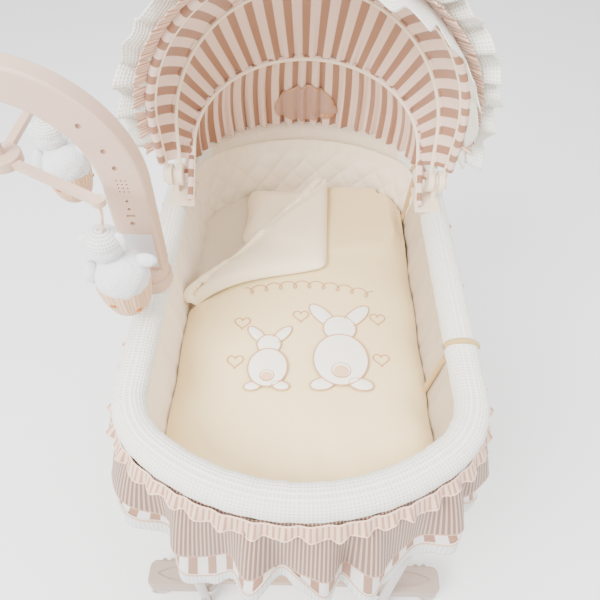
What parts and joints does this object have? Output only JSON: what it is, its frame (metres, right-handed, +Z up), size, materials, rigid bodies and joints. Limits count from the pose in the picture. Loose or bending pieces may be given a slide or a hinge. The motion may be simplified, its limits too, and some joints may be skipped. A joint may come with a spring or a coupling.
{
  "type": "bassinet on stand",
  "caption": "Padded oval baby bassinet with folding hood, frilled skirt, bedding and swing-arm toy mobile, lifted off a wheeled stand with storage shelf.",
  "frame": {"origin": "middle of the bounding box at floor level", "axes": "+Z up, +Y towards the hooded head end, +X to the right side seen from the foot end"},
  "size_m": [0.9054, 0.976, 1.1957],
  "materials": {
    "stand_bar": "satin powder coat",
    "stand_foot": "satin moulded plastic",
    "stand_tube": "satin powder coat",
    "dark_plastic": "moulded",
    "bolt_steel": "plated",
    "shelf_board": "cloth covered board",
    "caster_plastic": "moulded",
    "wheel_plastic": "moulded",
    "pan_board": "cloth covered board",
    "wall_board": "stiff board",
    "liner_cloth": "quilted cotton, cream",
    "mattress_cloth": "plain cotton",
    "waffle_cloth": "white waffle weave",
    "satin_cloth": "cream satin cotton",
    "pinstripe_cloth": "beige pinstripe",
    "striped_cloth": "cream and tan stripes",
    "cream_plastic": "moulded",
    "bow_plastic": "extruded plastic",
    "arm_plastic": "satin moulded plastic",
    "light_panel": "translucent, semi-gloss",
    "button_plastic": "moulded",
    "plush_cloth": "white plush",
    "knit_cloth": "peach knit"
  },
  "bodies": {
    "stand": {"foot_crossbar": "stand_bar", "head_crossbar": "stand_bar", "stand_foot_foot_left": "stand_foot", "stand_foot_foot_right": "stand_foot", "stand_foot_head_left": "stand_foot", "stand_foot_head_right": "stand_foot", "foot_legs": "stand_tube", "head_legs": "stand_tube", "foot_top_bar": "stand_tube", "head_top_bar": "stand_tube", "side_rails": "stand_bar", "leg_tips": "dark_plastic", "leg_bolts": "bolt_steel", "storage_shelf": "shelf_board", "storage_wall": "striped_cloth"},
    "caster_foot_left": {"caster_fork_foot_left": "caster_plastic"},
    "wheels_foot_left": {"caster_wheels_foot_left": "wheel_plastic"},
    "caster_foot_right": {"caster_fork_foot_right": "caster_plastic"},
    "wheels_foot_right": {"caster_wheels_foot_right": "wheel_plastic"},
    "caster_head_left": {"caster_fork_head_left": "caster_plastic"},
    "wheels_head_left": {"caster_wheels_head_left": "wheel_plastic"},
    "caster_head_right": {"caster_fork_head_right": "caster_plastic"},
    "wheels_head_right": {"caster_wheels_head_right": "wheel_plastic"},
    "basket": {"basket_pan": "pan_board", "basket_wall": "wall_board", "padded_liner": "liner_cloth", "mattress": "mattress_cloth", "rim_tube": "stand_tube", "rim_roll": "waffle_cloth", "pillow": "satin_cloth", "duvet": "satin_cloth", "skirt_upper": "pinstripe_cloth", "skirt_lower": "striped_cloth", "skirt_frill": "striped_cloth", "pan_saddles": "dark_plastic", "hood_socket_left": "cream_plastic", "hood_socket_right": "cream_plastic", "hood_rear_bow": "bow_plastic", "hood_dome": "striped_cloth", "hood_valance": "striped_cloth", "mobile_base": "arm_plastic"},
    "hood_middle": {"hood_mid_bow": "bow_plastic", "hood_mid_hubs": "cream_plastic"},
    "hood_front": {"hood_front_bow": "bow_plastic", "hood_knobs": "cream_plastic", "hood_front_band": "striped_cloth", "hood_ruffle": "waffle_cloth"},
    "mobile_arm": {"mobile_collar": "arm_plastic", "mobile_arm_rear_shell": "arm_plastic", "mobile_arm_front_shell": "arm_plastic", "night_light_panel": "light_panel"},
    "play_button": {"play_button": "button_plastic"},
    "mobile_hub": {"mobile_hub": "arm_plastic", "mobile_branches": "arm_plastic"},
    "toy_1": {"toy_1_plush": "plush_cloth", "toy_1_cone": "knit_cloth"},
    "toy_2": {"toy_2_plush": "plush_cloth", "toy_2_cone": "knit_cloth"},
    "toy_3": {"toy_3_plush": "plush_cloth", "toy_3_cone": "knit_cloth"}
  },
  "joints": [
    {"name": "caster_foot_left_swivel", "type": "hinge", "parent": "stand", "child": "caster_foot_left", "pos_m": [-0.16228, -0.322, 0.045], "axis": [0, 0, 1], "continuous": true},
    {"name": "caster_foot_left_roll", "type": "hinge", "parent": "caster_foot_left", "child": "wheels_foot_left", "pos_m": [-0.17428, -0.322, 0.019], "axis": [0, 1, 0], "continuous": true},
    {"name": "caster_foot_right_swivel", "type": "hinge", "parent": "stand", "child": "caster_foot_right", "pos_m": [0.42172, -0.322, 0.045], "axis": [0, 0, 1], "continuous": true},
    {"name": "caster_foot_right_roll", "type": "hinge", "parent": "caster_foot_right", "child": "wheels_foot_right", "pos_m": [0.43372, -0.322, 0.019], "axis": [0, 1, 0], "continuous": true},
    {"name": "caster_head_left_swivel", "type": "hinge", "parent": "stand", "child": "caster_head_left", "pos_m": [-0.16228, 0.322, 0.045], "axis": [0, 0, 1], "continuous": true},
    {"name": "caster_head_left_roll", "type": "hinge", "parent": "caster_head_left", "child": "wheels_head_left", "pos_m": [-0.17428, 0.322, 0.019], "axis": [0, 1, 0], "continuous": true},
    {"name": "caster_head_right_swivel", "type": "hinge", "parent": "stand", "child": "caster_head_right", "pos_m": [0.42172, 0.322, 0.045], "axis": [0, 0, 1], "continuous": true},
    {"name": "caster_head_right_roll", "type": "hinge", "parent": "caster_head_right", "child": "wheels_head_right", "pos_m": [0.43372, 0.322, 0.019], "axis": [0, 1, 0], "continuous": true},
    {"name": "basket_lift", "type": "slide", "parent": "stand", "child": "basket", "axis": [0, 0, 1], "range_m": [0, 0.15]},
    {"name": "hood_fold", "type": "hinge", "parent": "basket", "child": "hood_middle", "pos_m": [0.12972, 0.165, 0.795], "axis": [-1, 0, 0], "range_deg": [0, 45]},
    {"name": "hood_front_fold", "type": "hinge", "parent": "hood_middle", "child": "hood_front", "pos_m": [0.12972, 0.165, 0.795], "axis": [-1, 0, 0], "range_deg": [0, 24]},
    {"name": "mobile_swing", "type": "hinge", "parent": "basket", "child": "mobile_arm", "pos_m": [-0.11128, -0.06, 0.778], "axis": [0, 0, 1], "range_deg": [0, 180]},
    {"name": "play_button_press", "type": "slide", "parent": "mobile_arm", "child": "play_button", "axis": [0, -1, 0], "range_m": [0, 0.0015], "stiffness_N_per_m": 300},
    {"name": "mobile_turn", "type": "hinge", "parent": "mobile_arm", "child": "mobile_hub", "pos_m": [-0.26528, -0.06, 0.976], "axis": [0, 0, 1], "range_deg": [-60, 0]},
    {"name": "toy_1_sway", "type": "hinge", "parent": "mobile_hub", "child": "toy_1", "pos_m": [-0.12097, -0.13999, 0.9812], "axis": [0.4848, 0.8746, 0], "range_deg": [-12, 12]},
    {"name": "toy_2_sway", "type": "hinge", "parent": "mobile_hub", "child": "toy_2", "pos_m": [-0.26816, 0.10497, 0.9812], "axis": [-0.9998, -0.0175, 0], "range_deg": [-12, 12]},
    {"name": "toy_3_sway", "type": "hinge", "parent": "mobile_hub", "child": "toy_3", "pos_m": [-0.40672, -0.14498, 0.9812], "axis": [0.515, -0.8572, 0], "range_deg": [-12, 12]}
  ],
  "couplings": [
    {"joint": "hood_front_fold", "follows": "hood_fold", "ratio": 0.53333}
  ]
}
